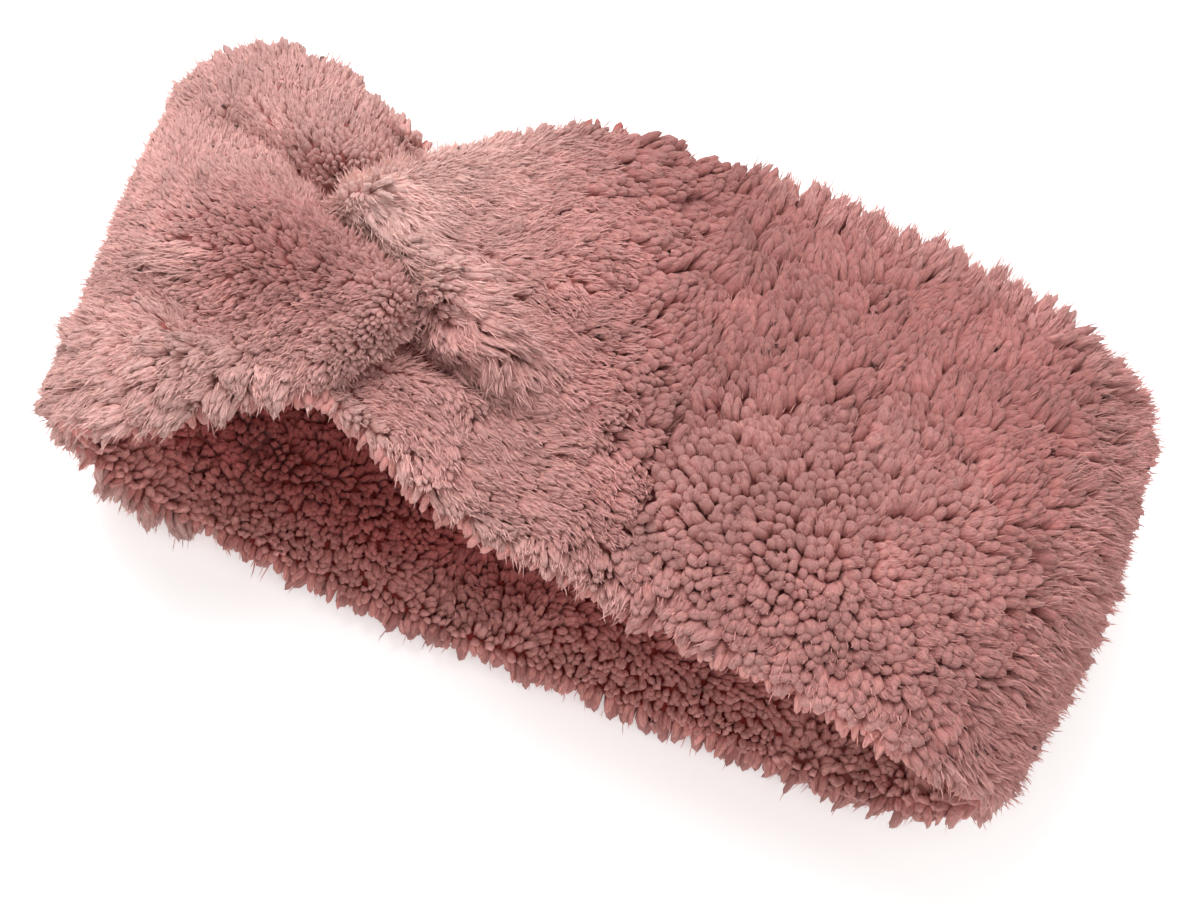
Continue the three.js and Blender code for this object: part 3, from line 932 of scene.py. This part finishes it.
def banded(name, colour, wave, direction, darkest, lightest, strength, roughness):
    """A colour crossed by the bands of a wave, painted darker between them as painted shade in the
    grooves, and sunk there by a bump. wave gives the wave's scale, distortion and detail."""
    made, tree, shader = material(name)
    place = node(tree, "ShaderNodeTexCoord")
    bands = node(tree, "ShaderNodeTexWave", {"Vector": place.outputs["Object"], **wave},
                 bands_direction=direction)
    level = node(tree, "ShaderNodeMapRange",
                 {"Value": bands.outputs["Fac"], "To Min": darkest, "To Max": lightest})
    shaded = node(tree, "ShaderNodeHueSaturation",
                  {"Value": level.outputs[0], "Color": srgb(colour)})
    bump = node(tree, "ShaderNodeBump",
                {"Strength": strength, "Distance": 0.0002, "Height": bands.outputs["Fac"]})
    feed(tree, shader, {"Base Color": shaded.outputs[0], "Normal": bump.outputs[0],
                        "Roughness": roughness})
    return made, shader


def thread_look():
    """Spun polyester sewing thread, two plies twisted together: matt, with slanting lines between
    the plies painted dark as painted shade in the grooves."""
    # A real turn of the twist is about 0.6 mm long. It is drawn 2.4 mm long, to show on this
    # thread, which is drawn thick.
    plies = {"Scale": 260.0, "Distortion": 1.5, "Detail": 2.0}
    made, shader = banded("spun_polyester_thread", bpy.context.scene.headband_colours.thread,
                          plies, "DIAGONAL", 0.72, 1.08, 0.7, 0.7)
    shader.inputs["Sheen Weight"].default_value = 0.15
    return made


def elastic_look():
    """Woven elastic: rubber cores covered with polyester yarn, so that it shows ribs along its
    length and a finer weft across them."""
    # Weft yarns lie 0.5 mm apart; the ribs are in the mesh
    weft = {"Scale": 640.0, "Distortion": 0.6, "Detail": 1.0}
    # The weft is painted darker between its yarns, as painted shade
    return banded("woven_elastic", bpy.context.scene.headband_colours.elastic,
                  weft, "X", 0.8, 1.05, 0.6, 0.6)[0]


class HeadbandSizes(bpy.types.PropertyGroup):
    loop_length: FloatProperty(
        name="Loop length", description="Bend to bend, without the pile's loose ends",
        default=0.250, unit="LENGTH")
    loop_height: FloatProperty(
        name="Loop height", description="Height of the loop as it lies", default=0.077,
        unit="LENGTH")
    bend_reach: FloatProperty(
        name="Bend reach", description="How far each rounded end runs", default=0.052,
        unit="LENGTH")
    back_width: FloatProperty(
        name="Back width", description="Band width at the back", default=0.105, unit="LENGTH")
    right_width: FloatProperty(
        name="Right lobe width", description="Band width over the right lobe", default=0.113,
        unit="LENGTH")
    left_width: FloatProperty(
        name="Left lobe width", description="Band width over the left lobe", default=0.103,
        unit="LENGTH")
    pile: FloatProperty(
        name="Pile", description="Depth of the pile over its ground", default=0.004,
        unit="LENGTH")
    seed: IntProperty(name="Seed", description="Start of the pile's chance", default=7)


class HeadbandColours(bpy.types.PropertyGroup):
    # root is the pile's colour at the ground, made darker and redder as painted shade between the
    # locks
    root: StringProperty(name="Root", description="Pile at its ground", default="#b8716b")
    tip: StringProperty(name="Tip", description="Ends of the pile", default="#d29d98")
    # pale serves brushed pile and also painted light: the left lobe's pile for the key light, the
    # near edges as painted sheen, and the loose fibres
    pale: StringProperty(name="Pale", description="Brushed and worn pile", default="#e8c2ba")
    # deep serves close standing pile and also painted shade: the strips' ground between the locks
    # and the right lobe away from the twist
    deep: StringProperty(name="Deep", description="Close standing pile", default="#9c5652")
    # The lining colours are the face's fleece made deeper and redder, as painted shade inside the
    # loop; lining_pale also serves painted light on the lining's near edge and towards the right
    lining_root: StringProperty(name="Lining root", description="Inner pile at its ground",
                                default="#9e3c37")
    lining_tip: StringProperty(name="Lining tip", description="Ends of the inner pile",
                               default="#d07873")
    lining_pale: StringProperty(name="Lining pale", description="Brushed inner pile",
                                default="#e3a19a")
    elastic: StringProperty(name="Elastic", description="Woven elastic", default="#e9e3dc")
    thread: StringProperty(name="Thread", description="Sewing thread", default="#b98581")


def sizes():
    return bpy.context.scene.headband_sizes


def fleece_of(which):
    """The fleece's material, made once for each face of the band."""
    found = bpy.data.materials.get(which)
    if found:
        return found
    c = bpy.context.scene.headband_colours
    bumpy = not which.endswith("_fibres")
    if "face" in which:
        return fleece(which, c.root, c.tip, c.pale, c.deep, bumpy)
    # The inner face gets the lining colours, which carry painted shade
    return fleece(which, c.lining_root, c.lining_tip, c.lining_pale, c.lining_root, bumpy)


def follow_stretch(piece):
    """Bakes the piece's place into its mesh, where it stays."""
    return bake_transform(piece)


def finish_piece(piece, look):
    piece.data.materials.append(fleece_of(look))


def pile_pieces(prefix, kinds, locks, look, rng):
    """The locks of one face, a piece for each kind of pile, and a piece of loose fibres over
    each."""
    made = []
    for (name, pile), found in zip(kinds.items(), locks):
        body = make_locks(f"{prefix}_{name}_pile", found, pile["build"], rng)
        finish_piece(body, look)
        loose = make_fibres(f"{prefix}_{name}_fibres", found, *pile["fibres"], rng)
        finish_piece(loose, f"{look}_fibres")
        made += [body, loose]
    return made


def face_pieces(prefix, kinds, locks, rng):
    """Pile of a face that is turned away from the head."""
    return pile_pieces(prefix, kinds, locks, "sherpa_fleece_face", rng)


def lining_pieces(prefix, lining, cloth, rng):
    """Pile of a face that is turned to the head."""
    locks = inner_locks(cloth, lining, rng)
    return pile_pieces(prefix, lining, locks, "sherpa_fleece_lining", rng)


class HEADBAND_OT_right_strip(bpy.types.Operator):
    """Right strip: the lobe, its fold in the twist, and the pile on both faces"""
    bl_idname = "headband.right_strip"
    bl_label = "Right strip"

    def execute(self, context):
        s = sizes()
        rng = np.random.default_rng(s.seed)
        cloth = strip_cloth(Wall(1, s), right_relief, s.pile / MM)
        # The ground is toned deep as painted shade between the locks
        base = make_base("right_strip_fleece", cloth.points, GROUND_PAINTED_SHADE)
        finish_piece(base, "sherpa_fleece_face")
        face = face_pieces("right", RIGHT_PILE, right_locks(cloth, rng), rng)
        inside = lining_pieces("right_lining", RIGHT_LINING, cloth, rng)
        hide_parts("right_strip")
        for piece in (base, *face, *inside):
            follow_stretch(piece)
        return {"FINISHED"}


class HEADBAND_OT_left_strip(bpy.types.Operator):
    """Left strip: the lobe, its fold in the twist, and the pile on both faces"""
    bl_idname = "headband.left_strip"
    bl_label = "Left strip"

    def execute(self, context):
        s = sizes()
        rng = np.random.default_rng(s.seed + 1)
        cloth = strip_cloth(Wall(-1, s), left_relief, s.pile / MM)
        # The ground is toned deep as painted shade between the locks
        base = make_base("left_strip_fleece", cloth.points, GROUND_PAINTED_SHADE)
        finish_piece(base, "sherpa_fleece_face")
        face = face_pieces("left", LEFT_PILE, left_locks(cloth, rng), rng)
        inside = lining_pieces("left_lining", LEFT_LINING, cloth, rng)
        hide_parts("left_strip")
        for piece in (base, *face, *inside):
            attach(piece, "left_half")
        return {"FINISHED"}


class HEADBAND_OT_back_panel(bpy.types.Operator):
    """Back panel: its outer face, which lies on the floor, and its lining"""
    bl_idname = "headband.back_panel"
    bl_label = "Back panel"

    def execute(self, context):
        s = sizes()
        rng = np.random.default_rng(s.seed + 2)
        cloth = back_cloth(s, s.pile / MM)
        half = cloth.points.shape[1] // 2
        closing = cloth.points[:, 1:half][:, ::-1].copy()
        # The two layers stand apart all over, and further round the elastic, in its casing
        casing = 1.0 - smooth(16.5, 21.0, np.abs(closing[..., 1]))
        closing[..., 2] = WALL / 2.0 - LAYER_GAP - 0.95 * casing
        shell = np.concatenate([cloth.points[:, :half + 1], closing], 1)
        closing = cloth.points[:, half + 1:][:, ::-1].copy()
        closing[..., 2] = WALL / 2.0 + LAYER_GAP
        lining = np.concatenate([cloth.points[:, half:], cloth.points[:, :1], closing], 1)
        shell[:, [0, half], 2] -= LAYER_GAP
        lining[:, [0, half], 2] += LAYER_GAP
        base = make_base("back_shell_fleece", shell, 0.0)
        inside = make_base("back_lining_fleece", lining, 0.0)
        finish_piece(base, "sherpa_fleece_face")
        finish_piece(inside, "sherpa_fleece_lining")
        under = face_pieces("back", UNDER_PILE, under_locks(cloth, rng), rng)
        inner = lining_pieces("back_lining", BACK_LINING, cloth, rng)
        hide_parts("back_shell")
        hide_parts("back_lining")
        for piece in (base, inside, *under, *inner):
            follow_stretch(piece)
        return {"FINISHED"}


# Ribs of the elastic: how far apart they stand, and how deep it is sunk between them
RIB_STEP = 1.4
RIB_DEPTH = 0.09


class HEADBAND_OT_elastic(bpy.types.Operator):
    """Woven elastic in the back casing"""
    bl_idname = "headband.elastic"
    bl_label = "Elastic"

    def execute(self, context):
        low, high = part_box("elastic_band")
        middle = (low + high) / 2.0
        size = (high - low) / MM
        turns = np.linspace(0.0, 2.0 * math.pi, 144, endpoint=False)
        x = np.linspace(-size.x / 2.0, size.x / 2.0, 41)
        x, turn = np.meshgrid(x, turns, indexing="ij")
        across, rise = section(size.y / 2.0, size.z / 2.0, turn)
        sunk = RIB_DEPTH * (0.5 - 0.5 * np.cos(2.0 * math.pi * across / RIB_STEP))
        rise = rise - np.sign(rise) * np.minimum(sunk, np.abs(rise))
        points = np.stack([x, across, rise], -1) + np.array(middle) / MM - shift()
        piece = make_base("elastic_strap", points, 0.0)
        piece.data.materials.append(elastic_look())
        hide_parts("elastic_band")
        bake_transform(piece)
        return {"FINISHED"}


class HEADBAND_OT_sewing(bpy.types.Operator):
    """Thread of the seams and of the elastic's bartacks"""
    bl_idname = "headband.sewing"
    bl_label = "Sewing"

    def execute(self, context):
        look = thread_look()
        sewn = [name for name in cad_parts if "_seam" in name or "_bartack" in name]
        if not sewn:
            raise RuntimeError("the frame has no seam or bartack to give thread to")
        for name in sewn:
            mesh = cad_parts[name].data
            mesh.materials.clear()
            mesh.materials.append(look)
        return {"FINISHED"}


class HEADBAND_OT_stage(bpy.types.Operator):
    """Camera, floor and soft light"""
    bl_idname = "headband.stage"
    bl_label = "Stage"

    def execute(self, context):
        # The camera looks steeply down on the near edge, turned by a roll, through a long lens
        elevation = math.radians(68.0)
        roll = math.radians(24.0)
        distance = 0.70
        y = (shift()[1] - 4.0) * MM
        aim = Vector((0.0018, y, 0.035))
        back = Vector((0.0, -math.cos(elevation), math.sin(elevation)))
        data = bpy.data.cameras.new("camera")
        data.lens = 90.7
        camera = bpy.data.objects.new("camera", data)
        context.scene.collection.objects.link(camera)
        camera.location = aim + back * distance
        camera.rotation_mode = "QUATERNION"
        turned = (-back).to_track_quat("-Z", "Y")
        camera.rotation_quaternion = turned @ Quaternion((0.0, 0.0, 1.0), roll)
        context.scene.camera = camera

        mesh = bpy.data.meshes.new("floor")
        # Metres from the middle of the floor to its sides
        r = 4.0
        mesh.from_pydata([(-r, -r, 0), (r, -r, 0), (r, r, 0), (-r, r, 0)], [], [(0, 1, 2, 3)])
        floor = bpy.data.objects.new("floor", mesh)
        context.scene.collection.objects.link(floor)
        # Uncoated paper sweep: pressed fibres that scatter all light, lit so that it looks white
        made, tree, shader = material("white_paper_sweep")
        feed(tree, shader, {
            "Base Color": srgb("#f4f2f1"),
            "Roughness": 0.9,
            "Emission Color": (1.0, 1.0, 1.0, 1.0),
            "Emission Strength": 0.35,
        })
        mesh.materials.append(made)

        world = bpy.data.worlds.new("soft_white_room")
        context.scene.world = world
        world.use_nodes = True
        world.node_tree.nodes["Background"].inputs[0].default_value = (1.0, 1.0, 1.0, 1.0)
        world.node_tree.nodes["Background"].inputs[1].default_value = 0.75
        for name, place, power, size in (
            ("key_softbox", (-0.55, 0.45, 1.1), 14.0, 0.7),
            ("fill_softbox", (0.8, -0.6, 1.0), 3.0, 1.0),
        ):
            light = bpy.data.lights.new(name, "AREA")
            light.energy = power
            light.size = size
            lamp = bpy.data.objects.new(name, light)
            context.scene.collection.objects.link(lamp)
            lamp.location = place
            lamp.rotation_mode = "QUATERNION"
            lamp.rotation_quaternion = (aim - Vector(place)).to_track_quat("-Z", "Y")
        context.scene.view_settings.view_transform = "Standard"
        return {"FINISHED"}


class HEADBAND_PT_parts(bpy.types.Panel):
    """Lists the headband's pieces in the sidebar"""
    bl_label = "Headband"
    bl_space_type = "VIEW_3D"
    bl_region_type = "UI"
    bl_category = "Headband"

    def draw(self, context):
        for operator in OPERATORS:
            self.layout.operator(operator.bl_idname)


OPERATORS = (
    HEADBAND_OT_stage,
    HEADBAND_OT_right_strip,
    HEADBAND_OT_left_strip,
    HEADBAND_OT_back_panel,
    HEADBAND_OT_elastic,
    HEADBAND_OT_sewing,
)
CLASSES = (HeadbandSizes, HeadbandColours, *OPERATORS, HEADBAND_PT_parts)


def register():
    for cls in CLASSES:
        bpy.utils.register_class(cls)
    bpy.types.Scene.headband_sizes = bpy.props.PointerProperty(type=HeadbandSizes)
    bpy.types.Scene.headband_colours = bpy.props.PointerProperty(type=HeadbandColours)


def unregister():
    del bpy.types.Scene.headband_colours
    del bpy.types.Scene.headband_sizes
    for cls in reversed(CLASSES):
        bpy.utils.unregister_class(cls)


def main():
    register()
    bpy.ops.headband.stage()
    bpy.ops.headband.right_strip()
    bpy.ops.headband.left_strip()
    bpy.ops.headband.back_panel()
    bpy.ops.headband.elastic()
    bpy.ops.headband.sewing()


if __name__ == "__main__":
    main()
